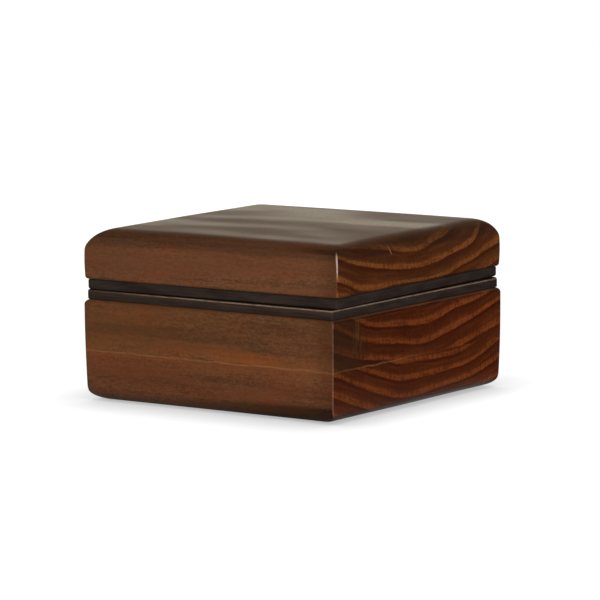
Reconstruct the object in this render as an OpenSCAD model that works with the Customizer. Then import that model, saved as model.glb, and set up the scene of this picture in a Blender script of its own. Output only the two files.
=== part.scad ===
// Square keepsake box in stained pine. Base and lid are cut from solid boards
// and trimmed at the mouth with black bands; the lid lifts straight off an
// inner lip. Millimetres, +Z up, origin at the centre of the underside.
// The grain of every board runs along X, so the ends of the boards face +X and -X.

/* [Box] */
// Width of the box, along the grain
box_w = 150; // [110:1:220]
// Depth of the box, from front to back
box_d = 150; // [110:1:220]
// Radius of the upright corners of the boards
corner_r = 1.3; // [0.5:0.1:4]
// Radius that the cutter leaves in the inside corners
pocket_r = 4; // [2:0.5:8]

/* [Base] */
// Thickness of each of the two boards glued up for the base
base_board_t = 25.4; // [20:0.1:40]
// Thickness of the base's walls
wall_t = 14; // [11:0.5:20]
// Thickness of wood left under the base's inside
floor_t = 9; // [5:0.5:14]
// Radius of the round-over around the underside
foot_edge_r = 10; // [3:0.5:14]
// Radius of the base's upper outside edge, under its band
base_mouth_r = 2.2; // [0.5:0.1:3]

/* [Lid] */
// Thickness of the lid's board
lid_board_t = 24.8; // [20:0.1:40]
// Thickness of wood left over the lid's inside
ceiling_t = 10; // [5:0.5:12]
// Radius of the round-over around the top
top_edge_r = 9.5; // [3:0.5:12]
// Radius of the lid's lower outside edge, over its band
lid_mouth_r = 1; // [0.3:0.1:3]
// How far the loose lid sits turned on the base, in degrees
lid_turn = 1.2; // [-1.5:0.1:1.5]

/* [Bands] */
// Height of each black band
band_h = 5.2; // [3:0.1:8]
// How far the bands sit in from the wood's outside
band_inset = 1; // [0.4:0.1:2.5]
// Radius of the bands' upright corners
band_corner_r = 1; // [0.3:0.1:3]
// Radius of each band's edge at the seam between lid and base
seam_edge_r = 1.2; // [0.3:0.1:1.4]
// Radius of each band's edge against the wood
band_edge_r = 0.6; // [0.2:0.1:1.4]

/* [Liner] */
// Thickness of the four boards that line the base
liner_t = 4; // [2.5:0.5:6]
// How much rounder the liner's outside corners are than the pocket's, to clear them
liner_relief = 0.5; // [0.2:0.1:1]
// How far the liner stands above the base's band, as the lip
lip_rise = 7; // [4:0.5:9]
// Radius of the lip's upper edges
lip_edge_r = 1; // [0.3:0.1:1.2]
// Gap left between the lip and the turned lid at the tightest place
lip_clear = 0.6; // [0.3:0.1:1.5]

/* [Felt] */
// Thickness of the felt sheets
felt_t = 2; // [1:0.1:3]
// Gap around each felt sheet
felt_gap = 0.5; // [0.3:0.1:2]

/* [Hidden] */

$fn = 64;
// The four sides, in the order in which quarter turns from the front reach them
SIDES = ["front", "right", "back", "left"];
// How far a cutting shape runs past what it cuts
past = 1;

// Heights above the floor
base_h = 2 * base_board_t;
seam_z = base_h + band_h;
lid_z = seam_z + band_h;
lip_h = seam_z + lip_rise - floor_t;

// Plans, each as [width, depth]
box_plan = [box_w, box_d];
band_plan = inset_plan(box_plan, band_inset);
base_pocket = inset_plan(box_plan, wall_t);
liner_inside = inset_plan(base_pocket, liner_t);

// The lip's corners swing out by this much as the lid turns around it
lip_swing = max(base_pocket) / 2 * sin(abs(lid_turn));
lid_play = lip_clear + lip_swing;
lid_pocket = inset_plan(base_pocket, -lid_play);

function inset_plan(plan, by) = [plan[0] - 2 * by, plan[1] - 2 * by];
// Quarter turns from the front to a side
function quarters(side) = search([side], SIDES)[0];
// Length of a side, and how far it lies from the side across
function side_run(side, plan) = plan[quarters(side) % 2];
function side_reach(side, plan) = plan[(quarters(side) + 1) % 2];

// Waste that a round-over of radius r takes off a square corner at the origin
module corner_waste(r) {
    difference() {
        translate([-past, -past]) square(r + past);
        translate([r, r]) circle(r);
    }
}

// Rectangle of size [x, y] from the origin, with its corners rounded by
// radii = [low outer, low inner, high inner, high outer]; x = 0 is the outer side
module moulded_section(size, radii) {
    difference() {
        square(size);
        corner_waste(radii[0]);
        translate([size[0], 0]) mirror([1, 0]) corner_waste(radii[1]);
        translate(size) rotate(180) corner_waste(radii[2]);
        translate([0, size[1]]) mirror([0, 1]) corner_waste(radii[3]);
    }
}

// Plan centred on the origin with all four corners rounded
module rounded_plan(plan, r) {
    translate(-plan / 2) moulded_section(plan, [r, r, r, r]);
}

// Solid block with rounded upright corners and a round-over around its
// underside and its top; the round-overs of two faces meet in a mitre
module rounded_block(plan, h, upright_r, low_r, high_r) {
    radii = [low_r, low_r, high_r, high_r];
    intersection() {
        translate([0, 0, -past]) linear_extrude(h + 2 * past) rounded_plan(plan, upright_r);
        rotate([90, 0, 0])
            linear_extrude(plan[1] + 2 * past, center = true)
                translate([-plan[0] / 2, 0]) moulded_section([plan[0], h], radii);
        rotate([90, 0, 90])
            linear_extrude(plan[0] + 2 * past, center = true)
                translate([-plan[1] / 2, 0]) moulded_section([plan[1], h], radii);
    }
}

// Upright cutter for a pocket, from its floor up
module pocket_cut(plan, h) {
    linear_extrude(h) rounded_plan(plan, pocket_r);
}

// One side of a mitred frame: a bar of section [thickness, height] with the
// section's radii, cut at 45 degrees at both ends
module frame_side(side, plan, bar, radii, upright_r) {
    run = side_run(side, plan);
    reach = side_reach(side, plan);
    intersection() {
        rotate([0, 0, 90 * quarters(side)]) intersection() {
            translate([0, -reach / 2, 0])
                rotate([90, 0, 90])
                    linear_extrude(run, center = true) moulded_section(bar, radii);
            translate([0, -reach / 2, -past])
                linear_extrude(bar[1] + 2 * past)
                    polygon([
                        [-run / 2 - past, -past],
                        [run / 2 + past, -past],
                        [run / 2 - bar[0] - past, bar[0] + past],
                        [-run / 2 + bar[0] + past, bar[0] + past],
                    ]);
        }
        translate([0, 0, -past])
            linear_extrude(bar[1] + 2 * past) rounded_plan(plan, upright_r);
    }
}

// One strip of a band: low_r and high_r round its outside edges, and its
// inside is cut to the pocket behind it, corners included
module band_strip(side, pocket, low_r, high_r) {
    thickness = (side_reach(side, band_plan) - side_reach(side, pocket)) / 2;
    difference() {
        frame_side(side, band_plan, [thickness + pocket_r, band_h],
                   [low_r, 0, 0, high_r], band_corner_r);
        translate([0, 0, -past]) pocket_cut(pocket, band_h + 2 * past);
    }
}

// Outside form of the glued-up base, before its inside is cut
module base_form() {
    rounded_block(box_plan, base_h, corner_r, foot_edge_r, base_mouth_r);
}

// Slab as wide as the box and more, from height z up by one base board
module board_layer(z) {
    translate([0, 0, z + base_board_t / 2])
        cube([box_w + 2 * past, box_d + 2 * past, base_board_t], center = true);
}

module on_lid() {
    rotate([0, 0, lid_turn]) children();
}

module base_lower_board() {
    color("#5a3321") difference() {
        intersection() {
            base_form();
            board_layer(0);
        }
        translate([0, 0, floor_t]) pocket_cut(base_pocket, base_h);
    }
}

module base_upper_board() {
    color("#5f3823") difference() {
        intersection() {
            base_form();
            board_layer(base_board_t);
        }
        translate([0, 0, floor_t]) pocket_cut(base_pocket, base_h);
    }
}

module base_band(side) {
    color("#2c2522") translate([0, 0, base_h])
        band_strip(side, base_pocket, band_edge_r, seam_edge_r);
}

// Liner board: it stands on the base's floor, and its top is the lip
module liner(side) {
    color("#4a2b1c") translate([0, 0, floor_t])
        frame_side(side, base_pocket, [liner_t, lip_h],
                   [0, 0, lip_edge_r, lip_edge_r], pocket_r + liner_relief);
}

module base_felt() {
    color("#26211f") translate([0, 0, floor_t])
        linear_extrude(felt_t) rounded_plan(inset_plan(liner_inside, felt_gap), felt_gap);
}

module lid_board() {
    color("#623a24") on_lid() difference() {
        translate([0, 0, lid_z])
            rounded_block(box_plan, lid_board_t, corner_r, lid_mouth_r, top_edge_r);
        translate([0, 0, seam_z])
            pocket_cut(lid_pocket, band_h + lid_board_t - ceiling_t);
    }
}

module lid_band(side) {
    color("#2c2522") on_lid() translate([0, 0, seam_z])
        band_strip(side, lid_pocket, seam_edge_r, band_edge_r);
}

module lid_felt() {
    color("#26211f") on_lid() translate([0, 0, lid_z + lid_board_t - ceiling_t - felt_t])
        linear_extrude(felt_t) rounded_plan(inset_plan(lid_pocket, felt_gap), pocket_r);
}

base_lower_board();
base_upper_board();
base_band("front");  // base_band_front
base_band("right");  // base_band_right
base_band("back");  // base_band_back
base_band("left");  // base_band_left
liner("front");  // liner_front
liner("right");  // liner_right
liner("back");  // liner_back
liner("left");  // liner_left
base_felt();
lid_board();
lid_band("front");  // lid_band_front
lid_band("right");  // lid_band_right
lid_band("back");  // lid_band_back
lid_band("left");  // lid_band_left
lid_felt();
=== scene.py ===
# %% [markdown]
# # A square keepsake box of stained pine
# The real box is cut from solid boards: two boards glued up make the base, one board makes the lid,
# and thin black strips trim both mouths. A plain lining stands up inside the base, and the lid drops
# over it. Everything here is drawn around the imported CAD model, in the same place and at the same size.

# %% Loading the frame
import math

import bpy
import numpy as np
from mathutils import Matrix, Vector


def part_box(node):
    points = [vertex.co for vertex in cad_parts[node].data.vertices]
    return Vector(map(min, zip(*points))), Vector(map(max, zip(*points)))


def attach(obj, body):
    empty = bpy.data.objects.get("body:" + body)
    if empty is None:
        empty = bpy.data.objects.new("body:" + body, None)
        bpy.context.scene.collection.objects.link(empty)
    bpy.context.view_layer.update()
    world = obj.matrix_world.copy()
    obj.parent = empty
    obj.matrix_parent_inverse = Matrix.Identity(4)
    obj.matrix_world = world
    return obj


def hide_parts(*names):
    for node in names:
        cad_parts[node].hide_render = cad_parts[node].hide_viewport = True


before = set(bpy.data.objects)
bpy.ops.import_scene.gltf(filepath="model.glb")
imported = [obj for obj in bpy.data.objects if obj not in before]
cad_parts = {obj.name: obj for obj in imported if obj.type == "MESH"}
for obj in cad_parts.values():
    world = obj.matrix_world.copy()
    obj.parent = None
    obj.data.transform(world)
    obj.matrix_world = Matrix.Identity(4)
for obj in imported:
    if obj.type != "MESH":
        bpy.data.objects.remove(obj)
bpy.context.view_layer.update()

# %% [markdown]
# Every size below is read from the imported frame, so that a new piece takes the room of the solid it
# stands for. Only the radii and the lid's turn, which a box around a solid can't tell, are written
# out. All sizes are in millimetres, because that is how a box maker would measure this box.

# %% Reading the sizes of the boards
def span(node):
    """Lowest and highest corner of a CAD node, in millimetres."""
    low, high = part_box(node)
    return np.array(low) * 1000, np.array(high) * 1000


box_half = span("base_upper_board")[1][0]
glue_z = span("base_lower_board")[1][2]
base_top = span("base_upper_board")[1][2]
floor_top = span("base_felt")[0][2]
seam_z = span("base_band_front")[1][2]
lid_bottom, lid_top = (corner[2] for corner in span("lid_board"))
ceiling_z = span("lid_felt")[1][2]
lip_top = span("liner_front")[1][2]
liner_out, liner_in = (-corner[1] for corner in span("liner_front"))
band_half = -span("base_band_front")[0][1]
LID_TURN = math.radians(1.2)
FELT_GAP, POCKET_CLEAR = 0.5, 0.6
turned_box = math.cos(LID_TURN) + math.sin(LID_TURN)  # box around a turned square, per unit of half
lid_pocket_half = span("lid_felt")[1][0] / turned_box + POCKET_CLEAR
print(f"box {2 * box_half:.1f} wide, base {base_top:.1f} high, lid {lid_bottom:.1f} to {lid_top:.1f}")
print(f"seam at {seam_z:.1f}, lip up to {lip_top:.1f}, lid pocket half {lid_pocket_half:.2f}")

# %% [markdown]
# The boards are square blocks with rounded upright corners and a big round-over where a router and
# then sandpaper went around the edge. Such a block is a section carried around a square path, the
# way a lathe carries a section around a circle: one parameter runs along the section, the other
# around the square. It beats a bevelled cube because the section can soften, bow and dome freely.

# %% The square path
def side_path(straight_points, arc_points):
    """One side of a rounded square, from the middle of one corner's arc to the middle of the next.

    A point of the path is (half - radius) * corner + radius * facing, each given as distance along
    the side and distance out from the middle. Corner runs straight from -1 to 1 along the side, and
    facing turns through 45 degrees at each end while corner stands still.
    """
    turn = np.linspace(0, math.pi / 4, arc_points + 1)[1:]
    straight = np.linspace(-1, 1, straight_points)
    angle = np.concatenate([-turn[::-1], 0 * straight, turn])
    along = np.concatenate([0 * turn - 1, straight, 0 * turn + 1])
    corner = np.stack([along, np.ones_like(along)], -1)
    facing = np.stack([np.sin(angle), np.cos(angle)], -1)
    return corner, facing


def quarter_turned(points, side):
    """Along and out of a side, as X and Y; sides 0 to 3 are front, right, back and left."""
    c, s = round(math.cos(side * math.pi / 2)), round(math.sin(side * math.pi / 2))
    along, out = points[..., 0], points[..., 1]
    return np.stack([along * c + out * s, along * s - out * c], -1)


def carried(section, path, sides):
    """Grid of points, section rows by path columns, around the given sides of the square.

    Each section row is half width of the square, height, radius of its corners, and more columns
    that aren't used here. A full turn leaves out the points that would come twice."""
    half, height, radius = (section[:, k, None, None] for k in range(3))
    corner, facing = path
    plan = (half - radius) * corner[None] + radius * facing[None]
    if len(sides) > 1:
        plan = plan[:, :-1]
    plan = np.concatenate([quarter_turned(plan, side) for side in sides], 1)
    return np.concatenate([plan, np.broadcast_to(height, plan.shape[:2] + (1,))], -1)


ALL_SIDES = range(4)
board_path = side_path(49, 6)
print("points along one side of a board:", len(board_path[0]))

# %% [markdown]
# A section is drawn the way a maker would scribe it on a template: straight runs, and quarter turns
# where a router bit rounds an edge over.

# %% Pieces of a section
def run(start, end, steps):
    """Evenly spaced rows from start to end, without the last."""
    t = np.linspace(0, 1, steps + 1)[:-1, None]
    return (1 - t) * np.array(start, float) + t * np.array(end, float)


def round_over(start, end, steps, sideways_first):
    """Quarter of an ellipse from start to end, without the last row.

    It sets out sideways or upright and arrives the other way, as sine and one minus cosine of a
    turn that grows evenly. The other columns follow that turn."""
    start, end = np.array(start, float), np.array(end, float)
    turn = np.linspace(0, math.pi / 2, steps + 1)[:-1]
    share = np.tile(turn[:, None] / (math.pi / 2), (1, len(start)))
    share[:, 0] = np.sin(turn) if sideways_first else 1 - np.cos(turn)
    share[:, 1] = 1 - np.cos(turn) if sideways_first else np.sin(turn)
    return start + share * (end - start)

# %% [markdown]
# Sanding by hand leaves a board a few hundredths of a millimetre out of flat. That is too little to
# measure, but a satin varnish shows it as a soft drift in the reflections, so it goes into the mesh
# itself and not only into the bump. It depends on the place alone, so that two boards that were
# sanded together after gluing stay flush with each other.

# %% Hand-sanded surfaces
def block_outward(points, low, high):
    """Unit direction out of a rounded block: each coordinate as a share of the half size, to the
    eighth power, so that a face points straight out and an edge points between its faces."""
    middle, half = (low + high) / 2, (high - low) / 2
    share = (points - middle) / half
    direction = np.sign(share) * np.abs(share) ** 8
    return direction / np.maximum(np.linalg.norm(direction, axis=-1, keepdims=True), 1e-9)


def sanding_drift(points):
    """Sum of three slow waves, long along the grain (X) and shorter across it, in millimetres."""
    x, y, z = np.moveaxis(points, -1, 0)
    return (0.045 * np.sin(x / 34 + 1.7 * np.sin(y / 29) + z / 21)
            + 0.035 * np.sin(y / 15.5 + 0.8 * np.sin(x / 41) + 1.3)
            + 0.025 * np.sin(z / 7.5 + x / 52 + y / 23) - 0.03)


def sanded(points, section, low, high):
    """The grid with its outside moved by the drift; the section's last column is the share."""
    drift = sanding_drift(points) * section[:, 3, None]
    return points + drift[..., None] * block_outward(points, low, high)

# %% [markdown]
# A grid of points becomes a mesh by joining neighbours. Where a section starts or ends on the
# upright axis, a whole row falls on one point, and merging it closes the pole. Each point also
# carries a measure of how near it lies to an upright corner, where the varnish gets pale wear and
# a painted highlight.

# %% From a grid to a mesh
import bmesh

WEAR_HIGHLIGHT_REACH = 6.0


def grid_faces(rows, columns, wrap_rows, wrap_columns):
    """Quads between neighbouring grid points; a wrapped direction joins its end to its start."""
    i, j = np.meshgrid(np.arange(rows - (not wrap_rows)),
                       np.arange(columns - (not wrap_columns)), indexing="ij")
    k, m = (i + 1) % rows, (j + 1) % columns
    corners = [i * columns + j, i * columns + m, k * columns + m, k * columns + j]
    return np.stack(corners, -1).reshape(-1, 4).tolist()


def turned(points, angle):
    """Points turned about the upright axis."""
    c, s = math.cos(angle), math.sin(angle)
    x, y, z = np.moveaxis(points, -1, 0)
    return np.stack([c * x - s * y, s * x + c * y, z], -1)


def placed(name, data):
    """A new object for a mesh, a lamp or the camera, put into the scene."""
    thing = bpy.data.objects.new(name, data)
    bpy.context.scene.collection.objects.link(thing)
    return thing


def mesh_piece(name, points, faces, wear_and_highlight, sharp_over=38):
    """A smooth-shaded object from points in millimetres, with wear and painted highlight as an attribute
    of each point.

    Points that coincide, as at a pole, are merged, and folds over sharp_over degrees stay crisp."""
    mesh = bpy.data.meshes.new(name)
    mesh.from_pydata((points.reshape(-1, 3) / 1000).tolist(), [], faces)
    mesh.attributes.new("edge_wear_and_highlight", "FLOAT", "POINT").data.foreach_set("value", wear_and_highlight.ravel())
    work = bmesh.new()
    work.from_mesh(mesh)
    bmesh.ops.remove_doubles(work, verts=work.verts, dist=1e-6)
    open_edges = sum(len(edge.link_faces) != 2 for edge in work.edges)
    volume = work.calc_volume(signed=True) * 1e6
    work.to_mesh(mesh)
    work.free()
    mesh.shade_smooth()
    mesh.set_sharp_from_angle(angle=math.radians(sharp_over))
    print(f"{name}: {len(mesh.polygons)} faces, {volume:.1f} cm3, {open_edges} open edges")
    return placed(name, mesh)


def corner_wear_and_highlight(section):
    """Wear and painted highlight along the upright corners: 1 in the middle of an arc, 0 where it
    ends. It fades on rows that lie further in than the widest row, and rows that aren't sanded have
    none."""
    facing = board_path[1][:-1]
    turn = np.abs(np.arctan2(facing[:, 0], facing[:, 1])) / (math.pi / 4)
    outside = np.clip(1 - (section[:, 0].max() - section[:, 0]) / WEAR_HIGHLIGHT_REACH, 0, 1) * section[:, 3]
    return outside[:, None] * np.tile(turn, len(ALL_SIDES))[None]


def board(name, points, section, low, high, looped=False, turn=0):
    """A sanded board from its grid, which closes at two poles or is looped like a ring, turned about
    the upright axis."""
    return mesh_piece(name, turned(sanded(points, section, low, high), turn),
                      grid_faces(*points.shape[:2], looped, True), corner_wear_and_highlight(section))

# %% [markdown]
# The base is two boards of equal thickness, glued face to face, and its inside is routed out after
# that. Each board is one closed skin. The foot turns under in a quarter ellipse, which is longer and
# flatter on the end grain, where sandpaper bites harder, and the walls draw in a little towards it.
# Each row of a section gives half width, height, corner radius and how far the row is sanded.

# %% The lower board of the base
CORNER_R = 0.9
POCKET_R = 4.0
FOOT_IN, FOOT_UP = 9.5, 7.5
END_FOOT_IN, END_FOOT_UP = 12.0, 5.0
FOOT_SOFTNESS = 0.1
FOOT_TAPER = 1.0
TAPER_START = 44.0
BASE_PROUD = 0.3
base_half = box_half + BASE_PROUD
pocket_half = liner_out
base_low = np.array([-base_half, -base_half, 0])
base_high = np.array([base_half, base_half, base_top])


def tapered(section):
    """Rows below the start of the taper draw in by the square of their distance below it."""
    drawn = section.copy()
    below = np.clip((TAPER_START - section[:, 1]) / TAPER_START, 0, 1)
    drawn[:, 0] -= FOOT_TAPER * below ** 2 * section[:, 3]
    return drawn


def drawn_in(height, inward, upward):
    """How far a round-over has turned in at a height: a quarter ellipse that ends at upward."""
    below = np.clip(1 - height / upward, 0, 1)
    return inward * (1 - np.sqrt(1 - below ** 2))


def stretched(points, section, axis, further, reach):
    """Rows reach further along X (axis 0) or Y (1): their straight part is stretched, and their
    corners shift. Reach is (-1, 1) for both ends of the axis, and (-1, 0) for the lower end."""
    straight = np.maximum(section[:, 0] - section[:, 2], 1e-6)
    share = np.clip(points[..., axis] / straight[:, None], *reach)
    moved = points.copy()
    moved[..., axis] += (further * section[:, 3])[:, None] * share
    return moved


under_rim = (base_half - FOOT_IN, 0, CORNER_R + FOOT_SOFTNESS * FOOT_IN, 1)
foot_end = (base_half, FOOT_UP, CORNER_R, 1)
glue_edge, glue_inside = (base_half, glue_z, CORNER_R, 1), (pocket_half, glue_z, POCKET_R, 0)
pocket_foot, pocket_mouth = (pocket_half, floor_top, POCKET_R, 0), (pocket_half, base_top, POCKET_R, 0)
lower_section = tapered(np.concatenate([
    run((0, 0, 0, 0), under_rim, 12),
    round_over(under_rim, foot_end, 18, True),
    run(foot_end, glue_edge, 5),
    run(glue_edge, glue_inside, 5),
    run(glue_inside, pocket_foot, 4),
    run(pocket_foot, (0, floor_top, 0, 0), 10),
    [(0, floor_top, 0, 0)],
]))
foot_z = lower_section[:, 1]
further = drawn_in(foot_z, FOOT_IN, FOOT_UP) - drawn_in(foot_z, END_FOOT_IN, END_FOOT_UP)
points = carried(lower_section, board_path, ALL_SIDES)
points = stretched(points, lower_section, 0, further, (-1, 1))
base_lower = board("base_lower_board_wood", points, lower_section, base_low, base_high)

# %% [markdown]
# The upper board stands on the glue line and is rounded over at its mouth, where the black strips
# sit. Its section is a closed loop, so it needs no pole: it is carried around like a square ring.

# %% The upper board of the base
MOUTH_R = 2.4
mouth_start = (base_half, base_top - MOUTH_R, CORNER_R, 1)
mouth_end = (base_half - MOUTH_R, base_top, CORNER_R + FOOT_SOFTNESS * MOUTH_R, 1)
upper_section = tapered(np.concatenate([
    run(glue_edge, mouth_start, 9),
    round_over(mouth_start, mouth_end, 8, False),
    run(mouth_end, pocket_mouth, 4),
    run(pocket_mouth, glue_inside, 6),
    run(glue_inside, glue_edge, 5),
]))
points = carried(upper_section, board_path, ALL_SIDES)
base_upper = board("base_upper_board_wood", points, upper_section, base_low, base_high, looped=True)

# %% [markdown]
# The lid is one board, routed out from below and rounded over around its top, most of all along the
# front, where hands lift it. Its top is slightly crowned, because a sander takes more off near the
# edges, and its walls swell by a third of a millimetre. The loose lid sits turned a little on its
# base, so its whole skin is turned about the upright axis.

# %% The lid's board
TOP_IN, TOP_DOWN = 10.5, 10.0
FRONT_IN = 15.0
LID_MOUTH_R = 1.4
TOP_SOFTNESS = 0.25
CROWN, CROWN_RISE = 0.5, 0.3
SIDE_BOW, BOW_END = 0.35, 1.3
lid_low = np.array([-box_half, -box_half, lid_bottom])
lid_high = np.array([box_half, box_half, lid_top])

ceiling_rim = (lid_pocket_half, ceiling_z, POCKET_R, 0)
inside_rim = (lid_pocket_half, lid_bottom, POCKET_R, 0)
lid_mouth_start = (box_half - LID_MOUTH_R, lid_bottom, CORNER_R, 1)
lid_mouth_end = (box_half, lid_bottom + LID_MOUTH_R, CORNER_R, 1)
top_start = (box_half, lid_top - TOP_DOWN, CORNER_R, 1)
top_rim = (box_half - TOP_IN, lid_top, CORNER_R + TOP_SOFTNESS * TOP_IN, 1)
lid_section = np.concatenate([
    run((0, ceiling_z, 0, 0), ceiling_rim, 10),
    run(ceiling_rim, inside_rim, 5),
    run(inside_rim, lid_mouth_start, 4),
    round_over(lid_mouth_start, lid_mouth_end, 6, True),
    run(lid_mouth_end, top_start, 6),
    round_over(top_start, top_rim, 20, False),
    run(top_rim, (0, lid_top, 0, 0), 24),
    [(0, lid_top, 0, 1)],
])


def bowed(section):
    """The upright wall swells by a parabola over its height, 0 at the lower edge and at BOW_END
    times the height of the round-over's start."""
    swollen = section.copy()
    share = (section[:, 1] - lid_bottom) / (lid_top - TOP_DOWN - lid_bottom)
    bow = np.clip(4 * share * (BOW_END - share) / BOW_END ** 2, 0, 1)
    swollen[:, 0] += SIDE_BOW * bow * section[:, 3]
    return swollen


def crowned(points):
    """Points above the round-over's start rise in the middle and sink towards the corners, with the
    square of their distance from the middle."""
    share = np.clip((points[..., 2] - (lid_top - TOP_DOWN)) / TOP_DOWN, 0, 1)
    x, y = points[..., 0] / box_half, points[..., 1] / box_half
    crown = points.copy()
    crown[..., 2] += share * (CROWN_RISE - CROWN * (x ** 2 + y ** 2) / 2)
    return crown


from_top = lid_top - lid_section[:, 1]
further = drawn_in(from_top, TOP_IN, TOP_DOWN) - drawn_in(from_top, FRONT_IN, TOP_DOWN)
points = carried(bowed(lid_section), board_path, ALL_SIDES)
points = crowned(stretched(points, lid_section, 1, further, (-1, 0)))
lid_wood = board("lid_board_wood", points, lid_section, lid_low, lid_high, turn=LID_TURN)

# %% [markdown]
# Thin strips painted black trim the mouth of the base and the mouth of the lid, four to each, cut at
# 45 degrees where they meet. A strip is a small section carried along one side of the square only,
# and closed with its own section at both ends, so the mitres are real faces.

# %% Mitred strips
def rounded_section(depth, height, radii, steps=5):
    """Closed loop of (depth from outside, height) rows around a bar, rounded at each of its corners
    by radii = low outside, high outside, high inside, low inside. It goes up the outside first."""
    centres = [(radii[0], radii[0]), (radii[1], height - radii[1]),
               (depth - radii[2], height - radii[2]), (depth - radii[3], radii[3])]
    starts = [270, 180, 90, 0]
    loop = []
    for centre, radius, start in zip(centres, radii, starts):
        turn = np.radians(start - np.linspace(0, 90, steps + 1))
        loop.append(np.array(centre) + radius * np.stack([np.cos(turn), np.sin(turn)], -1))
    return np.concatenate(loop)


def strip_faces(rows, columns):
    """Quads around a bar, and its section as one face at each end."""
    first = (np.arange(rows) * columns).tolist()
    last = (np.arange(rows)[::-1] * columns + columns - 1).tolist()
    return grid_faces(rows, columns, True, False) + [first, last]


def strip(name, side, height, radii, outer, inner, low, turn):
    """One mitred strip, with radii around its section. Outer and inner are (half width, corner
    radius) of the squares that its outside and its inside follow, and low is where it stands. Its
    face wavers by a few hundredths."""
    depth = outer[0] - inner[0]
    section = rounded_section(depth, height, radii)
    share = section[:, 0] / depth
    rows = np.column_stack([outer[0] - section[:, 0], low + section[:, 1],
                            outer[1] + (inner[1] - outer[1]) * share])
    points = carried(rows, strip_path, [side])
    along = points[..., 0] + points[..., 1]
    waver = 0.02 * np.sin(along / 13) + 0.012 * np.sin(along / 5.1 + 1) + 0.008 * np.sin(along / 2.3)
    points[..., :2] *= 1 + (waver * (share[:, None] < 0.5) / outer[0])[..., None]
    return mesh_piece(name, turned(points, turn), strip_faces(*points.shape[:2]), 0 * waver)


strip_path = side_path(97, 4)
SIDE_NAMES = ["front", "right", "back", "left"]
BAND_CORNER_R, SEAM_R, BAND_EDGE_R, INSIDE_EDGES = 1.0, 1.2, 0.6, (0.25, 0.25)
band_height = seam_z - base_top
base_bands, lid_bands = [], []
for side, side_name in enumerate(SIDE_NAMES):
    base_bands.append(strip(
        f"base_band_{side_name}_strip", side, band_height, (BAND_EDGE_R, SEAM_R, *INSIDE_EDGES),
        (band_half, BAND_CORNER_R), (pocket_half, POCKET_R), base_top, 0))
    lid_bands.append(strip(
        f"lid_band_{side_name}_strip", side, band_height, (SEAM_R, BAND_EDGE_R, *INSIDE_EDGES),
        (band_half, BAND_CORNER_R), (lid_pocket_half, POCKET_R), seam_z, LID_TURN))

# %% [markdown]
# Four thin boards line the base and stand up past its mouth as a lip, which keeps the lid in place.
# They are the same mitred strip again, only taller. Their grain follows their length, so the pair at
# the sides needs a material that is turned a quarter.

# %% The lining boards
LIP_R, LINER_FOOT_R, LINER_OUT_R, LINER_IN_R = 1.0, 0.25, POCKET_R + 0.5, 0.4
liner_height = lip_top - floor_top
liners = []
for side, side_name in enumerate(SIDE_NAMES):
    liners.append(strip(
        f"liner_{side_name}_wood", side, liner_height, (LINER_FOOT_R, LIP_R, LIP_R, LINER_FOOT_R),
        (liner_out, LINER_OUT_R), (liner_in, LINER_IN_R), floor_top, 0))

# %% [markdown]
# A sheet of felt lies in the base and another is glued under the lid. Felt is cut with scissors and
# has no hard edge, so each sheet is a thin closed skin with fully rounded rims, a wavering outline
# and a nap that rises and falls by a tenth of a millimetre.

# %% The felt sheets
FELT_RIM, FELT_TRIMMED, FELT_CORNER_R = 0.9, 0.15, 1.0
NAP_SUNK, NAP = 0.07, 0.045


def felt_sheet(name, half, radius, glued_z, thickness, up, turn):
    """A thin rounded square: flat where it is glued, rounded at its rim, and waved with the nap on
    the other side. With up = -1 it is turned over about X, so that it hangs from glued_z."""
    rim, middle = half - FELT_TRIMMED, thickness / 2
    section = np.concatenate([
        run((0, 0, 0), (rim - FELT_RIM, 0, radius), 30),
        round_over((rim - FELT_RIM, 0, radius), (rim, middle, radius), 5, True),
        round_over((rim, middle, radius), (rim - FELT_RIM, thickness, radius), 5, False),
        run((rim - FELT_RIM, thickness, radius), (0, thickness, 0), 60),
        [(0, thickness, 0)],
    ])
    points = carried(section, side_path(61, 5), ALL_SIDES)
    x, y, z = np.moveaxis(points, -1, 0)
    nap = (np.sin(x / 3.1 + 2 * np.sin(y / 7)) * np.sin(y / 2.7 + 2 * np.sin(x / 9))
           + 0.5 * np.sin((x + y) / 1.9) * np.sin((x - y) / 2.3))
    edge = np.clip((np.maximum(abs(x), abs(y)) - rim + 3) / 3, 0, 1)
    shrink = 1 - edge * (0.0008 + 0.0008 * np.sin((x + 1.3 * y) / 4))
    waved = z - z / thickness * (NAP_SUNK + NAP * nap)
    points = np.stack([x * shrink, up * y * shrink, glued_z + up * (waved + 0.02)], -1)
    return mesh_piece(name, turned(points, turn), grid_faces(*points.shape[:2], False, True),
                      np.zeros(points.shape[:2]))


base_sheet_half = span("base_felt")[1][0]
lid_sheet_half = lid_pocket_half - FELT_GAP
thick = span("base_felt")[1][2] - floor_top
base_sheet = felt_sheet("base_felt_sheet", base_sheet_half, FELT_CORNER_R, floor_top, thick, 1, 0)
lid_sheet = felt_sheet("lid_felt_sheet", lid_sheet_half, POCKET_R, ceiling_z, thick, -1, LID_TURN)
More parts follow.
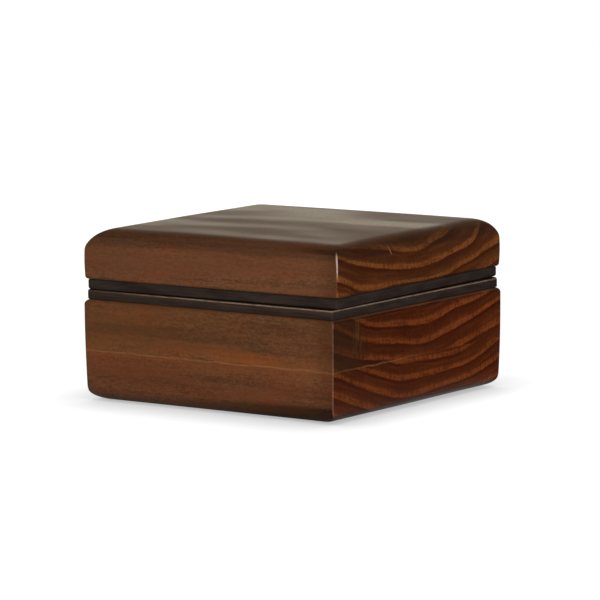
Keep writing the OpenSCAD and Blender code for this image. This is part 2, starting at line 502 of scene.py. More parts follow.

# %% [markdown]
# Each piece rides on the body of its CAD solid and stands for it, and that solid is hidden.

# %% Joining the pieces to the frame
wooden = [(base_lower, "base_lower_board", "base"), (base_upper, "base_upper_board", "base"),
          (lid_wood, "lid_board", "lid")]
for piece, node, body in wooden:
    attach(piece, body)
    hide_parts(node)
for side_name, base_strip, lid_strip, liner in zip(SIDE_NAMES, base_bands, lid_bands, liners):
    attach(base_strip, "base")
    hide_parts(f"base_band_{side_name}")
    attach(lid_strip, "lid")
    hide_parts(f"lid_band_{side_name}")
    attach(liner, "base")
    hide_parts(f"liner_{side_name}")
for sheet, node, body, half, lies_on in [
        (base_sheet, "base_felt", "base", base_sheet_half, "base_lower_board_wood"),
        (lid_sheet, "lid_felt", "lid", lid_sheet_half, "lid_board_wood")]:
    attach(sheet, body)
    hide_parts(node)

# %% [markdown]
# A material is a little machine of nodes. So that a recipe reads like a sum, a value on its way from
# one node to the next is a wire that can be added to, multiplied or made positive, and a few short
# helpers add the other nodes. Colours are given as a paint shop would mix them, in the usual display
# code, and turned into the linear values that light works with.

# %% Wires and nodes
def linear(code):
    """Linear colour from a display code such as 5a3321."""
    display = np.array([int(code[k:k + 2], 16) for k in (0, 2, 4)]) / 255
    value = np.where(display <= 0.04045, display / 12.92, ((display + 0.055) / 1.055) ** 2.4)
    return (*value.tolist(), 1.0)


def taken_up(owner, empty=False):
    """The material or world, with its node tree taken up for the helpers below to add to."""
    global tree
    owner.use_nodes = True
    tree = owner.node_tree
    if empty:
        tree.nodes.clear()
    return owner


def add(kind, inputs=(), output=0, **settings):
    """Adds a shader node, sets its settings, fills or links its inputs, and returns one output's
    wire."""
    node = tree.nodes.new("ShaderNode" + kind)
    for key, value in settings.items():
        setattr(node, key, value)
    for key, value in dict(inputs).items():
        if isinstance(value, Wire):
            tree.links.new(value.socket, node.inputs[key])
        else:
            node.inputs[key].default_value = value
    return Wire(node.outputs[output])


def calc(operation, *values, clamp=False):
    """A Math node on up to three numbers or wires."""
    return add("Math", enumerate(values), operation=operation, use_clamp=clamp)


class Wire:
    """A value on its way between nodes. Each sign used on it adds one Math node."""
    def __init__(self, socket):
        self.socket, self.node = socket, socket.node

    __add__ = lambda self, other: calc("ADD", self, other)
    __sub__ = lambda self, other: calc("SUBTRACT", self, other)
    __rsub__ = lambda self, other: calc("SUBTRACT", other, self)
    __mul__ = lambda self, other: calc("MULTIPLY", self, other)
    __truediv__ = lambda self, other: calc("DIVIDE", self, other)
    __abs__ = lambda self: calc("ABSOLUTE", self)

# %% [markdown]
# Most of a finish is a matter of fading from one thing to another: by height, by distance, or by
# drifting noise, which stands for everything that grew or dried unevenly.

# %% Fades, clouds and blends
def fade(value, start, end, low=0.0, high=1.0, smooth=True):
    """Low below start, high above end, and a soft or straight climb between."""
    return add("MapRange",
               {"Value": value, "From Min": start, "From Max": end, "To Min": low, "To Max": high},
               interpolation_type="SMOOTHSTEP" if smooth else "LINEAR")


def cloud(place, stretch, detail=3.0, roughness=0.5):
    """Noise from 0 to 1 whose grains are about as long, in millimetres, as stretch says."""
    scaled = add("Mapping", {"Vector": place, "Scale": [1 / length for length in stretch]})
    return add("TexNoise", {"Vector": scaled, "Scale": 1.0, "Detail": detail, "Roughness": roughness})


def blend(share, first, second, mode="MIX"):
    """Two colours mixed by a share from 0 to 1; each is a wire, a tone or a display code."""
    first, second = (linear(c) if isinstance(c, str) else c for c in (first, second))
    return add("Mix", {0: share, 6: first, 7: second}, output=2, data_type="RGBA", blend_type=mode)


def toned(colour, share, tone):
    """The colour multiplied by a tone where share is 1, and as it was where share is 0."""
    return blend(share, colour, tone, mode="MULTIPLY")


def grey(level):
    """A grey colour or tone."""
    return (level, level, level, 1)


def parts(vector):
    """The X, Y and Z of a vector."""
    return [add("SeparateXYZ", {"Vector": vector}, output=k) for k in range(3)]


def joined(x, y, z=0.0):
    """A vector from its X, Y and Z."""
    return add("CombineXYZ", {"X": x, "Y": y, "Z": z})


def place_in_mm(turn=0.0):
    """Object coordinates in millimetres, turned back to lie along the board."""
    place = add("TexCoord", output="Object")
    return add("Mapping", {"Vector": place, "Scale": (1000, 1000, 1000), "Rotation": (0, 0, -turn)})

# %% [markdown]
# Every finish here has the same three outlets: a colour, a roughness and a relief that bumps the
# light. What is the same all over, such as the sheen of felt, is set on the shader itself.

# %% Finishing a material
def wired(material, colour, rough, relief, depth, **uniform):
    """Connects colour, roughness and a bump, whose relief of 1 stands depth metres high, and sets
    what is the same all over on the shader's own sockets."""
    shader = next(n for n in tree.nodes if n.type == "BSDF_PRINCIPLED")
    for key, value in uniform.items():
        shader.inputs[key.replace("_", " ")].default_value = value
    bump = add("Bump", {"Height": relief, "Strength": 1.0, "Distance": depth})
    for socket, wire in [("Base Color", colour), ("Roughness", rough), ("Normal", bump)]:
        tree.links.new(wire.socket, shader.inputs[socket])
    print(f"{material.name}: {len(tree.nodes)} nodes")
    return material


def finish(pieces, material):
    """Gives each piece the material."""
    for piece in pieces:
        piece.data.materials.append(material)

# %% [markdown]
# Pine has broad growth rings: a pale early wood laid down in spring, and a dense late wood after it
# that ends abruptly. Stain turns that picture round, because early wood drinks it and goes dark
# while late wood stays orange. The rings are worked out through the whole block, as a height above
# a few rings whose line over the board's end is drawn as a curve, so the arcs on the ends and the
# streaks along the sides belong together, as they do in a sawn board. Each drawn ring is a row of
# places across the end and a row of its heights there.

# %% The growth rings of the three boards
ACROSS, UP = (-80.0, 80.0), (-20.0, 100.0)
RINGS_LOWER = [
    ((-76, -72.6, -53.6, -34, -17, 0, 20, 51, 76), (14.1, 13, 6.7, 1.3, -1.7, -2.7, -1.7, 1.3, 6.3)),
    ((-76, -71.6, -53.5, -34.5, -17.8, 0, 20.5, 51.4, 70.3, 76),
     (24.3, 23.1, 16.5, 10.2, 6.3, 5.6, 6.8, 9, 13.5, 15.3)),
    ((-76, -51.7, -34.4, -19.5, 0, 20.5, 46.3, 72.2, 76),
     (32.3, 23.9, 18.9, 14.9, 13.9, 14.2, 16, 23.5, 24.8)),
]
RINGS_UPPER = [
    ((-76, -50.8, -25.6, -3.5, 20.6, 35.6, 72.2, 76), (36, 29.1, 26.1, 23.1, 21.2, 24.5, 31.9, 32.5)),
    ((-76, -59.3, -45.8, -19.4, 5.5, 25.5, 51.4, 72.5, 76),
     (47.5, 41.3, 37, 33.3, 30.7, 33.5, 38.6, 44.2, 45.1)),
    ((-76, -54.3, -43.8, -19.4, 7.4, 30.9, 55.6, 76), (57, 48.1, 44.6, 41.9, 40.3, 44.5, 47.5, 52.5)),
]
RINGS_LID = [
    ((-76, -70, -66, -60, -40, 0, 40, 61.1, 73.1, 76),
     (61.9, 61, 60.2, 55.2, 52, 52.1, 55.6, 61.2, 65, 66)),
    ((-76, -73.5, -65.6, -57.6, -49.6, -41.7, -17.9, 8.9, 23.9, 36.3, 47.8, 61.1, 73, 76),
     (70, 69.1, 66.7, 63.8, 62.1, 61.8, 62.6, 61.2, 62.1, 65, 67.1, 70.5, 72.9, 73.6)),
    ((-76, -71.2, -61.6, -46.6, -31.6, -16.5, -1, 14.5, 30.4, 46.3, 59.3, 76),
     (81.8, 80, 76.8, 73.6, 71.2, 69.5, 68.7, 69.8, 72.6, 75.4, 82, 90.2)),
    ((-76, -61.6, -41.6, -26.5, -11.4, -1, 14.6, 30.4, 46, 76),
     (87.2, 84.4, 81.7, 79.6, 77.5, 77.2, 80.1, 82.7, 87.2, 96.2)),
]


def ring_line(across, ring):
    """Height of one ring in millimetres, as a smooth curve over the width of the board's end."""
    share = add("MapRange", {"Value": across, "From Min": ACROSS[0], "From Max": ACROSS[1]})
    line = add("FloatCurve", {"Value": share})
    spots = [((y - ACROSS[0]) / (ACROSS[1] - ACROSS[0]), (z - UP[0]) / (UP[1] - UP[0]))
             for y, z in zip(*ring)]
    mapping = line.node.mapping
    points = mapping.curves[0].points
    points[0].location, points[1].location = spots[0], spots[-1]
    for spot in spots[1:-1]:
        points.new(*spot)
    mapping.update()
    return line * (UP[1] - UP[0]) + UP[0]


def ring_number(across, height, rings):
    """Counts rings from the lowest up: whole numbers on the drawn rings, shares between them, and
    the same spacing carried on below the first and above the last."""
    lines = [ring_line(across, ring) for ring in rings]
    count = None
    for k, (below, above) in enumerate(zip(lines, lines[1:])):
        step = (height - below) / (above - below)
        if k > 0:
            step = calc("MAXIMUM", step, 0.0)
        if k < len(lines) - 2:
            step = calc("MINIMUM", step, 1.0)
        count = step if count is None else count + step
    return count

# %% [markdown]
# One recipe makes the finish of all three boards. On the ends the rings show strongly: the orange
# late wood starts sharply, is pricked by pores and rays, and has a dark line of soaked early wood
# under it. Along the grain the rings sink to faint streaks under fine dark flecks, and the stain
# leaves clouds, some redder and some greener. The varnish is uneven, so the top mirrors in patches.

# %% Marks and late wood
def mark(across, height, centre, size, softness=0.4):
    """1 inside an oval of the board's end, 0 outside, with a soft rim."""
    away = [(at - middle) / reach for at, middle, reach in zip((across, height), centre, size)]
    squares = away[0] * away[0] + away[1] * away[1]
    return fade(squares, 1 + softness, 1 - softness)


# Late wood's share of colour at shares of a ring, from one late wood's lower edge to the next
LATE_WOOD = [(0.02, 0.3), (0.05, 0.95), (0.22, 1.0), (0.32, 0.85), (0.38, 0.36), (0.47, 0.18),
             (0.72, 0.14), (0.93, 0.06)]
RAGGED_EDGE = 0.55


def late_wood_share(share, ragged):
    """How much of the orange late wood shows, from the share of a ring: it starts sharply at 0,
    stays for a third of the ring, and ends in a ragged edge."""
    late_end = share * fade(share, 0.1, 0.3)
    ramp = add("ValToRGB", {"Fac": late_end * RAGGED_EDGE * ragged + share})
    stops = ramp.node.color_ramp.elements
    stops[0].color, stops[-1].color = grey(0), grey(0)
    for position, value in LATE_WOOD:
        stops.new(position).color = grey(value)
    return ramp

# %% The stained pine
SEED_STEP = (37.0, 11.0, 23.0)
TREMBLE, WANDER = 1.0, (0.3, 9.0)  # of the rings, in millimetres; wander is at the right and left end
# A darker line of soaked early wood under each ring, and painted shade near the near corner
UNDER_RING, NEAR_CORNER_SHADE = (0.9, 0.72, 0.42, 1), (0.7, 0.68, 0.68, 1)
REDDER, GREENER = (1.06, 0.96, 0.9, 1), (0.96, 1.03, 1.0, 1)
# Painted shade on turned-over end grain, and the pale colour of worn corners with their painted highlight
END_TURN_SHADE, WORN_WOOD_HIGHLIGHT = 0.7, "c4aea0"


def stained_pine(name, rings, turn, narrowing, end_colours, near_end_shade, side_colours, seed, rub_and_highlight,
                 dress):
    """Stained and satin-varnished pine for one board. Narrowing squeezes the late wood of the lower
    and upper rings. Colours go from dark to light, and the third is a tint of the sides. The ends
    get painted shade towards the front, down to near_end_shade; rub_and_highlight is two heights
    and how pale the upright corners are painted there, as wear and a painted highlight; and dress
    adds the board's own marks."""
    material = taken_up(bpy.data.materials.new(name))
    place = place_in_mm(turn)
    along, across, height = parts(place)
    grown = add("VectorMath", {0: place, 1: [seed * step for step in SEED_STEP]})

    # The ring that each point belongs to, wandering more and more towards the left end
    wander, tremble = cloud(grown, (160, 26, 26), 1.0), cloud(grown, (30, 5, 5), 2.0)
    wander_by = fade(along, box_half - 1, -box_half, *WANDER, smooth=False)
    shift = (tremble - 0.5) * TREMBLE + (wander - 0.5) * wander_by
    rays = cloud(grown, (3.0, 1.0, 4.5), 2.0, 0.6)
    count = ring_number(across, height + shift, rings)
    share = calc("FRACT", count)
    late_wood = late_wood_share(share * fade(count, 0.8, 1.2, *narrowing), rays - 0.5)
    facing = parts(add("TexCoord", output="Normal"))
    sideways, upright = abs(facing[0]), abs(facing[2])
    end_grain = fade(sideways, 0.25, 0.8)

    # The end grain
    patches = cloud(grown, (30, 16, 7), 3.0)
    pores = cloud(grown, (1.6, 0.75, 0.75), 2.0, 0.6)
    pricked = fade(rays, 0.4, 0.55, 0.4, 1.15) * fade(pores, 0.34, 0.56, 0.5, 1.15)
    layered = joined(along / 60.0, across / 28.0, count * 5.5)
    layers = add("TexNoise", {"Vector": layered, "Scale": 1.0, "Detail": 2.0})
    end_light = late_wood * pricked * fade(patches, 0.3, 0.6, 0.62, 1.12)
    end_light = end_light * fade(layers, 0.36, 0.6, 0.74, 1.12) + fade(layers, 0.4, 0.7, -0.03, 0.16)
    end_light = calc("ADD", end_light, fade(pores, 0.3, 0.7, -0.05, 0.1), clamp=True)
    end_colour = blend(end_light, end_colours[0], end_colours[1])
    end_colour = toned(end_colour, fade(share, 0.76, 0.9) * fade(share, 1.0, 0.95), UNDER_RING)
    # Painted shade on the ends towards the front
    end_colour = toned(end_colour, fade(across, 50, -75), grey(near_end_shade))

    # The long grain
    smudges, tint = cloud(grown, (60, 20, 9), 3.0), cloud(grown, (60, 30, 12), 2.0)
    streaks, grain = cloud(grown, (45, 2.4, 2.4), 3.0, 0.6), cloud(grown, (5, 0.8, 0.8), 3.0, 0.65)
    speckle, olive = cloud(grown, (1.6, 1.0, 1.0), 2.0, 0.6), cloud(grown, (22, 9, 6), 2.0)
    side_light = late_wood * 0.1 + fade(smudges, 0.3, 0.62, 0.36, 0.55)
    side_light = side_light + fade(streaks, 0.25, 0.75, -0.26, 0.26)
    side_light = side_light + fade(grain, 0.25, 0.75, -0.42, 0.42)
    side_light = calc("ADD", side_light, fade(speckle, 0.25, 0.75, -0.38, 0.38), clamp=True)
    side_colour = blend(side_light, side_colours[0], side_colours[1])
    side_colour = blend(fade(tint, 0.35, 0.65, 0.0, 0.6), side_colour, side_colours[2])
    side_colour = toned(side_colour, fade(olive, 0.32, 0.5, 1.0, 0.0), REDDER)
    side_colour = toned(side_colour, fade(olive, 0.5, 0.68), GREENER)

    # Both, with the board's marks; painted shade where end grain turns over and on the sides
    # towards the near corner; pale wear with a painted highlight on the upright corners
    colour = blend(end_grain, side_colour, end_colour)
    colour = dress(colour, along, across, height, end_grain, grain)
    # Painted shade where the end grain turns up or down over a round-over
    colour = toned(colour, fade(upright, 0.2, 0.42) * end_grain, grey(END_TURN_SHADE))
    # Painted shade on the sides towards the near corner
    colour = toned(colour, fade(along, 60, 74) * (1.0 - end_grain), NEAR_CORNER_SHADE)
    # Pale wear with a painted highlight along the upright corners, by height
    wear_and_highlight = add("Attribute", output="Fac", attribute_name="edge_wear_and_highlight")
    worn_and_highlight = fade(wear_and_highlight, 0.35, 0.85) * fade(height, *rub_and_highlight) * fade(patches, 0.35, 0.6, 0.7, 1.0)
    colour = blend(worn_and_highlight, colour, WORN_WOOD_HIGHLIGHT)
    sheen = cloud(grown, (85, 34, 30), 1.5)
    rough = grain * 0.05 + fade(sheen, 0.31, 0.65, 0.24, 0.415)
    rough = rough * fade(wear_and_highlight, 0.3, 0.9, 1.0, 0.6)
    relief = cloud(grown, (100, 24, 24), 1.0) * 0.16 + (streaks * 0.008 + late_wood * 0.012)
    return wired(material, colour, rough, relief, 0.001, IOR=1.5, Specular_IOR_Level=0.12)

# %% [markdown]
# Some marks belong to one board alone. The glue line shows on the base as a thin, slightly wavering
# line that took less stain, and painted shade darkens the base's foot. The upper board's end has a
# dark patch of crooked grain at one corner and a painted highlight under its mouth, and the lid's end
# has a small fleck of bare wood. Painted shade marks where the lid's front and back turn into the
# round-over. Each is drawn where the board has it, as an oval of centre and size, or between two heights.

# %% The marks of each board
GLUE_HALF_WIDTH = 0.3
# Colours of the glue line, the painted highlight under the mouth, and a fleck of bare wood
GLUE_PALE, MOUTH_HIGHLIGHT, FLECK_BARE = "855735", "8f6c55", "a8692f"
CROOKED_DARK, CROOKED_LIGHT = "2c1c0d", "5e3d18"
FRONT_CLOUDS = [
    ((-22, 37), (52, 3.2), (0.83, 0.83, 0.84, 1)), ((33, 34), (9, 2.2), (0.84, 0.85, 0.91, 1)),
    ((58, 38.5), (12, 2), (0.88, 0.9, 0.94, 1)), ((24, 29), (26, 3.4), (1.16, 1.06, 0.92, 1)),
    ((-20, 45), (50, 3.5), (1.1, 1.06, 1.0, 1))]
CROOKED_PATCH, CROOKED_STREAKS = ((-66, 37), (17, 16)), ((-53, 40), (4.5, 9))
FLECK = (-26.9, 79.9), (0.45, 2.0)


def glue_line_and_foot_shade(colour, along, across, height, end_grain, grain):
    """A thin paler line at the height of the joint, which fades out along the board's end. The wood
    beside it took less stain, and painted shade darkens the foot, most of all towards the near corner."""
    on_side = 1.0 - end_grain
    waver = cloud(joined(along, across), (16, 16, 16), 2.0) - 0.5
    away = abs(waver * 2.2 + (height - glue_z))
    colour = toned(colour, fade(away, 11, 2) * on_side, (1.22, 1.16, 1.08, 1))
    line = fade(away, GLUE_HALF_WIDTH + 0.3, GLUE_HALF_WIDTH - 0.15)
    line = line * fade(grain, 0.3, 0.6, 0.35, 1.0)
    strength = on_side * 0.75 + fade(across, 30, -40, 0.0, 0.6) * end_grain
    colour = blend(line * strength, colour, GLUE_PALE)
    # Painted shade on the foot, deepest towards the near corner
    foot_shade = fade(fade(along, -70, 75, 7.0, 10.5) - height, 0, 4) * on_side
    foot_shade_tone = blend(fade(along, -70, 74), (0.95, 1.1, 1.2, 1), (0.3, 0.36, 0.36, 1))
    colour = toned(colour, foot_shade, foot_shade_tone)
    # Painted shade along the foot of the ends
    end_foot_shade = blend(fade(across, -45, -70), (0.7, 0.9, 0.8, 1), (0.25, 0.3, 0.3, 1))
    return toned(colour, fade(height, 5.5, 2.5) * end_grain, end_foot_shade)


def upper_marks(colour, along, across, height, end_grain, grain):
    """The glue line and painted foot shade, drawn clouds of stain on the front, a painted highlight
    under the mouth on the ends, and crooked grain at the front corner of the right end: a dark patch
    with upright streaks."""
    colour = glue_line_and_foot_shade(colour, along, across, height, end_grain, grain)
    place = joined(along, across, height)
    drift = cloud(place, (30, 3, 2.5), 3.0) * 7.0 + (height - 3.5)
    front = fade(across, -70, -74)
    for centre, size, tone in FRONT_CLOUDS:
        colour = toned(colour, mark(along, drift, centre, size, 0.7) * front, tone)
    # Painted highlight along the rounded mouth of the ends
    mouth_highlight = fade(abs(height - (base_top - 0.5)), 0.6, 0.1, 0.0, 0.35)
    colour = blend(mouth_highlight * end_grain, colour, MOUTH_HIGHLIGHT)
    streaks = cloud(place, (9, 1.3, 14), 3.0)
    crooked = streaks * 9.0 + (across - 4.5)
    right_end = fade(along, box_half - 14, box_half - 2) * end_grain
    dark = right_end * mark(crooked, height, *CROOKED_PATCH, 0.9)
    colour = blend(dark * fade(streaks, 0.25, 0.65, 0.86, 0.5), colour, CROOKED_DARK)
    light = right_end * mark(crooked, height, *CROOKED_STREAKS, 0.9)
    return blend(light * fade(streaks, 0.5, 0.68, 0.0, 0.5), colour, CROOKED_LIGHT)


def lid_marks(colour, along, across, height, end_grain, grain):
    """A fleck of bare wood on the right end, and a greyer band and a dark line of painted shade where
    the front and the back turn into the round-over."""
    leaning = (height - 80) * 0.12 + across
    fleck = mark(leaning, height, *FLECK, 0.5) * fade(along, box_half - 6, box_half - 3)
    colour = blend(fleck, colour, FLECK_BARE)
    on_side = 1.0 - end_grain
    wavy = cloud(joined(along, across), (60, 60, 60), 2.0) * 2.0 + (height - 1.0)
    # A greyer band of painted shade where the sides turn into the round-over
    round_over_shade = fade(wavy, 78.3, 80.3) * fade(wavy, 84.5, 82.5, 0.25, 1.0)
    colour = toned(colour, round_over_shade * on_side, (0.72, 0.78, 0.86, 1))
    # A dark line of painted shade in the round-over, towards the right end
    line = fade(abs(wavy - 83), 1.6, 0.4) * fade(along, 40, 68)
    return toned(colour, line * on_side, (0.55, 0.52, 0.5, 1))

# %% [markdown]
# Three boards take the same stain differently, so each has its own rings, shades and marks, and
# only the recipe is shared. Pale wear with a painted highlight is laid along the upright corners.

# %% Staining the boards
LOWER_END, UPPER_END, LID_END = ("451901", "7a3b16"), ("411701", "7c3c18"), ("421d09", "7f471c")
LOWER_SIDE, UPPER_SIDE = ("4d2e1c", "6a4028", "663921"), ("4c301d", "6a432a", "643c20")
LID_SIDE = ("4e331f", "6f462d", "6b3f29")
# Heights and strengths of the pale wear and painted highlight on each board's upright corners
BASE_RUB_HIGHLIGHT, LID_RUB_HIGHLIGHT = (8, 46, 0.12, 0.1), (69, 77, 0.02, 1.0)
BASE_NARROWING, LID_NARROWING = (1.08, 1.08), (0.95, 1.3)
for piece, *recipe in [
        (base_lower, RINGS_LOWER, 0, BASE_NARROWING, LOWER_END, 0.72, LOWER_SIDE, 1, BASE_RUB_HIGHLIGHT,
         glue_line_and_foot_shade),
        (base_upper, RINGS_UPPER, 0, BASE_NARROWING, UPPER_END, 0.7, UPPER_SIDE, 2, BASE_RUB_HIGHLIGHT,
         upper_marks),
        (lid_wood, RINGS_LID, LID_TURN, LID_NARROWING, LID_END, 0.88, LID_SIDE, 3, LID_RUB_HIGHLIGHT,
         lid_marks)]:
    finish([piece], stained_pine(piece.name.replace("_wood", "_pine"), *recipe))

# %% [markdown]
# The strips are painted a soft black over fine-grained wood. Where lid and base meet, the edge is
# greyish brown in dashes rather than in a clean line, as rubbed-through paint with a painted
# highlight, and the joint itself holds a dark line of painted shade. Both are placed by their
# height, so all eight strips share one paint.

# %% The black bands
# Depths below the joint of the pale rubbed edge with its painted highlight, and of the painted shade line
RUB_HIGHLIGHT_BELOW, SHADE_BELOW = 0.85, 0.05


def black_paint(name):
    """Satin black over wood, browner in its grain and lighter and browner on the front just below the
    joint, nearly black with painted shade in the joint, and pale in dashes along its edge there, as
    rubbed-through paint with a painted highlight."""
    material = taken_up(bpy.data.materials.new(name))
    place = place_in_mm()
    along, across, height = parts(place)
    grain, clouds = cloud(place, (14, 14, 0.5), 3.0), cloud(place, (18, 18, 5), 3.0)
    paint = blend(fade(clouds, 0.3, 0.7), "231b17", "302722")
    paint = blend(fade(grain, 0.45, 0.75, 0, 0.5), paint, "3f322a")
    # Lighter, browner paint on the front face just below the joint
    front_below_joint = fade(height, seam_z - 4, seam_z - 1.4) * fade(across, -73, -73.7)
    front_below_joint = front_below_joint * fade(height, seam_z - 0.1, seam_z - 0.5)
    paint = blend(front_below_joint * fade(grain, 0.35, 0.65, 0.2, 0.85), paint, "3f2f22")
    level_face = abs(parts(add("TexCoord", output="Normal"))[2])
    # A dark line of painted shade in the joint, on the upright faces
    joint_shade = fade(abs(height - (seam_z - SHADE_BELOW)), 0.6, 0.3, 0.0, 0.85)
    paint = blend(joint_shade * fade(level_face, 0.99, 0.95), paint, "120803")
    dashes = cloud(place, (5, 5, 1), 4.0, 0.65)
    # Pale rubbed-through paint with a painted highlight along the edge at the joint, in dashes
    rub_and_highlight = fade(abs(height - (seam_z - RUB_HIGHLIGHT_BELOW)), 0.5, 0.05)
    rub_and_highlight = rub_and_highlight * fade(dashes, 0.3, 0.6, 0.35, 0.9) * fade(along, -75, 0, 0.15, 1.0)
    paint = blend(rub_and_highlight, paint, "8a7260")
    rough = fade(dashes, 0.3, 0.7, 0.4, 0.55)
    return wired(material, paint, rough, grain, 0.00003, IOR=1.5, Specular_IOR_Level=0.14)


finish(base_bands + lid_bands, black_paint("black_band_paint"))

# %% [markdown]
# The lining is a thin red-brown board with straight grain, only wiped with stain and left matt.

# %% The lining wood
def lining_wood(name, quarter):
    """Straight-grained lining; the grain runs along X, or along Y when turned a quarter."""
    material = taken_up(bpy.data.materials.new(name))
    place = place_in_mm(quarter)
    streaks, fibres = cloud(place, (160, 3, 2.2), 4.0, 0.6), cloud(place, (20, 0.5, 0.5), 3.0)
    tone = calc("MULTIPLY_ADD", fibres, 0.4, fade(streaks, 0.3, 0.7, -0.1, 0.75), clamp=True)
    colour, rough = blend(tone, "4a2817", "7e4d2f"), fade(fibres, 0.2, 0.8, 0.5, 0.68)
    return wired(material, colour, rough, fibres, 0.00004, IOR=1.5, Specular_IOR_Level=0.25)


finish(liners[::2], lining_wood("lining_along", 0.0))
finish(liners[1::2], lining_wood("lining_across", math.pi / 2))

# %% [markdown]
# Felt is a mat of short wool fibres that run every way. It scatters light back softly, which the
# sheen does, and its surface is broken up by clumps about a millimetre across.

# %% The felt
def wool_felt(name):
    """Dark felt: crossed fibre noise for colour and bump, and a soft sheen."""
    material = taken_up(bpy.data.materials.new(name))
    place = place_in_mm()
    clumps = cloud(place, (1.6, 1.6, 1.6), 4.0, 0.7)
    fibres = calc("MAXIMUM", cloud(place, (2.5, 0.2, 0.3), 2.0), cloud(place, (0.2, 2.5, 0.3), 2.0))
    tone = calc("MULTIPLY_ADD", fibres, 0.6, fade(clumps, 0.3, 0.7, -0.2, 0.45), clamp=True)
    colour, rough = blend(tone, "2c2421", "5c4b42"), fade(clumps, 0.2, 0.8, 0.85, 0.97)
    return wired(material, colour, rough, fibres * 0.5 + clumps, 0.0002,
                 Sheen_Weight=0.35, Sheen_Roughness=0.6, Specular_IOR_Level=0.1)


finish([base_sheet, lid_sheet], wool_felt("wool_felt"))

# %% [markdown]
# The camera is a long lens far from the box, a little to the right of its near corner and just above
# it. Its place was solved from the box's own size, so it is given as a turn, a height and a distance.

# %% The camera
BOX_WIDTH = 0.150
AZIMUTH, ELEVATION, ROLL = 35.00125, 7.63703, -0.35732
DISTANCE, SHIFT_RIGHT, SHIFT_UP = (BOX_WIDTH * widths for widths in (13.52348, 0.01676, 0.31177))
SENSOR, FRAME_PIXELS, FOCAL_PIXELS = 36, 600, 4025.216


def outward(azimuth, elevation):
    """Unit direction out from the middle, in degrees: azimuth turns to the right from the front."""
    a, e = math.radians(azimuth), math.radians(elevation)
    return Vector((math.sin(a) * math.cos(e), -math.cos(a) * math.cos(e), math.sin(e)))


back = outward(AZIMUTH, ELEVATION)
azimuth, roll = math.radians(AZIMUTH), math.radians(ROLL)
level_right = Vector((math.cos(azimuth), math.sin(azimuth), 0))
level_up = back.cross(level_right)
cam_right = math.cos(roll) * level_right + math.sin(roll) * level_up
cam_up = back.cross(cam_right)
eye = DISTANCE * back + SHIFT_RIGHT * cam_right + SHIFT_UP * cam_up
facing_box = Matrix((cam_right, cam_up, back)).transposed().to_4x4()
camera = placed("camera", bpy.data.cameras.new("camera"))
camera.data.sensor_width = SENSOR
camera.data.lens = FOCAL_PIXELS * SENSOR / FRAME_PIXELS
camera.data.clip_end = 50
camera.matrix_world = Matrix.Translation(eye) @ facing_box
bpy.context.scene.camera = camera
print("lens", round(camera.data.lens, 1), "mm, distance", round(DISTANCE, 3), "m")

# %% [markdown]
# The box stands on a plain white floor. A floor that is lit to pure white would throw far too much
# light up at the wood, so it is only lightly lit, and gets the rest of its white from its own
# material, for rays that come from the camera. Ambient occlusion dims that part close to the box,
# further out behind it than beside it, so the soft contact shadow is kept. Reflections see a share
# of the same white: a fifth in front of the box, hardly any behind it, and most under its ends.

# %% The floor
FLOOR_HALF, FLOOR_DROP = 6.0, 0.0001
FRONT_REACH, END_REACH, BACK_REACH = 0.038, 0.026, 0.055
DEEPEST_SHADOW, SHADOW_POWER = 0.42, 1.35
FRONT_SHARE, BACK_SHARE, FOOT_SHARE = 0.2, 0.02, 0.6
floor_mesh = bpy.data.meshes.new("floor")
floor_mesh.from_pydata([(x * FLOOR_HALF, y * FLOOR_HALF, -FLOOR_DROP)
                        for x, y in ((-1, -1), (1, -1), (1, 1), (-1, 1))], [], [[0, 1, 2, 3]])
floor = placed("floor", floor_mesh)


def white_for_camera(mirrored):
    """1 for rays from the camera or through glass, and the share mirrored for reflections."""
    seen = add("LightPath", output="Is Camera Ray") + add("LightPath", output="Is Transmission Ray")
    return calc("MULTIPLY_ADD", add("LightPath", output="Is Glossy Ray"), mirrored, seen, clamp=True)


floor_material = taken_up(bpy.data.materials.new("white_floor"), empty=True)
matt = add("BsdfDiffuse", {"Color": grey(0.15)})
floor_x, floor_y, _ = parts(add("TexCoord", output="Object"))
sideways, onward = abs(floor_x), abs(floor_y)
beside_end = fade(sideways - onward, -0.02, 0.02)
right_end = beside_end * fade(floor_x, 0.0, 0.02)
behind = (1.0 - beside_end) * fade(floor_y, 0.0, 0.05)
reach = right_end * (END_REACH - FRONT_REACH) + FRONT_REACH
reach = behind * (BACK_REACH - FRONT_REACH) + reach
open_sky = add("AmbientOcclusion", {"Distance": reach}, output="AO", samples=16)
deep = calc("POWER", open_sky, SHADOW_POWER) * (1 - DEEPEST_SHADOW) + DEEPEST_SHADOW
near_end = fade(sideways, 0.08, 0.1, FOOT_SHARE, 0.0) * beside_end
mirrored = calc("MAXIMUM", fade(floor_y, -0.1, 0.1, FRONT_SHARE, BACK_SHARE), near_end)
glow = add("Emission", {"Color": grey(1), "Strength": deep * white_for_camera(mirrored)})
both = add("AddShader", {0: matt, 1: glow})
tree.links.new(both.socket, tree.nodes.new("ShaderNodeOutputMaterial").inputs["Surface"])
floor_mesh.materials.append(floor_material)
print(f"floor: {2 * FLOOR_HALF:.0f} m wide, shadow no deeper than {DEEPEST_SHADOW}")

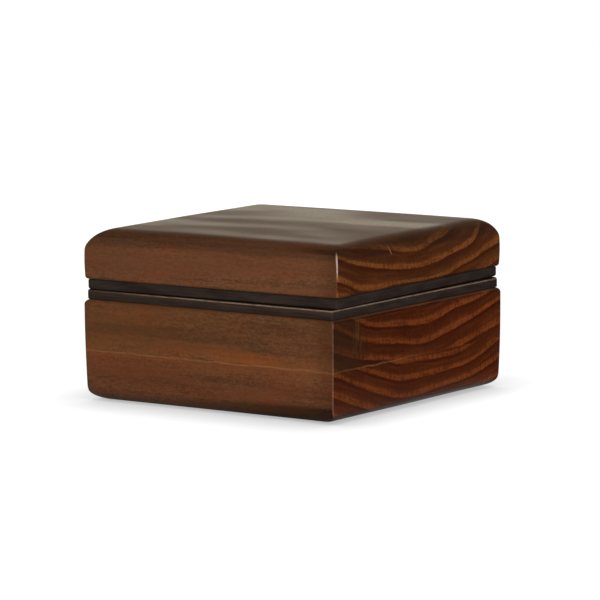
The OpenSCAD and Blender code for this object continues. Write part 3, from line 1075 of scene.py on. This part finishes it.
# %% [markdown]
# The room is bright near the horizon and dim overhead, as between pale screens under a dark ceiling.
# The flat top mirrors a screen that stands behind the box, to the left, while the round-overs mirror
# the ceiling and stay deep. A soft lamp lights the front and the right end, and another lights the
# back. Neither lamp is seen in the varnish.

# %% The room and the lamps
HORIZON, CEILING = 0.45, 0.1
MIRRORED_ROOM, MIRRORED_TONE = 0.4, (1.0, 0.91, 0.73, 1)
SCREEN, SCREEN_WAY = 0.88, (-0.574, 0.819, 0.0)
bpy.context.scene.world = taken_up(bpy.data.worlds.new("studio"), empty=True)
direction = add("TexCoord", output="Generated")
rise = parts(direction)[2]
room = fade(rise, 0.05, 0.5, HORIZON, CEILING)
towards = add("VectorMath", {0: direction, 1: SCREEN_WAY}, output="Value", operation="DOT_PRODUCT")
screen = fade(towards, 0.5, 0.8) * fade(rise, 0.5, 0.24, 0.0, SCREEN)
glossy = add("LightPath", output="Is Glossy Ray")
room = room * (glossy * (MIRRORED_ROOM - 1) + 1.0)
level = add("Mix", {0: white_for_camera(screen), 2: room, 3: 1.0}, data_type="FLOAT")
tone = blend(glossy, grey(1), MIRRORED_TONE)
light = add("Background", {"Color": tone, "Strength": level})
tree.links.new(light.socket, tree.nodes.new("ShaderNodeOutputWorld").inputs["Surface"])

LAMP_DISTANCE, BOX_MIDDLE = 1.6, Vector((0, 0, 0.04))


def soft_lamp(name, azimuth, elevation, size, watts):
    """A rectangular lamp aimed at the middle of the box, and left out of its reflections."""
    data = bpy.data.lights.new(name, "AREA")
    data.shape, data.size, data.size_y, data.energy = "RECTANGLE", size[0], size[1], watts
    out = outward(azimuth, elevation)
    lamp = placed(name, data)
    lamp.location = BOX_MIDDLE + out * LAMP_DISTANCE
    lamp.rotation_mode = "QUATERNION"
    lamp.rotation_quaternion = out.to_track_quat("Z", "Y")
    lamp.visible_glossy = False
    print(f"{name}: {watts} W from {azimuth} degrees, {elevation} up")


soft_lamp("front_lamp", 42, 9, (0.6, 0.42), 26)
soft_lamp("back_lamp", 222, 12, (0.9, 0.42), 20)

bpy.context.scene.view_settings.view_transform = "Standard"
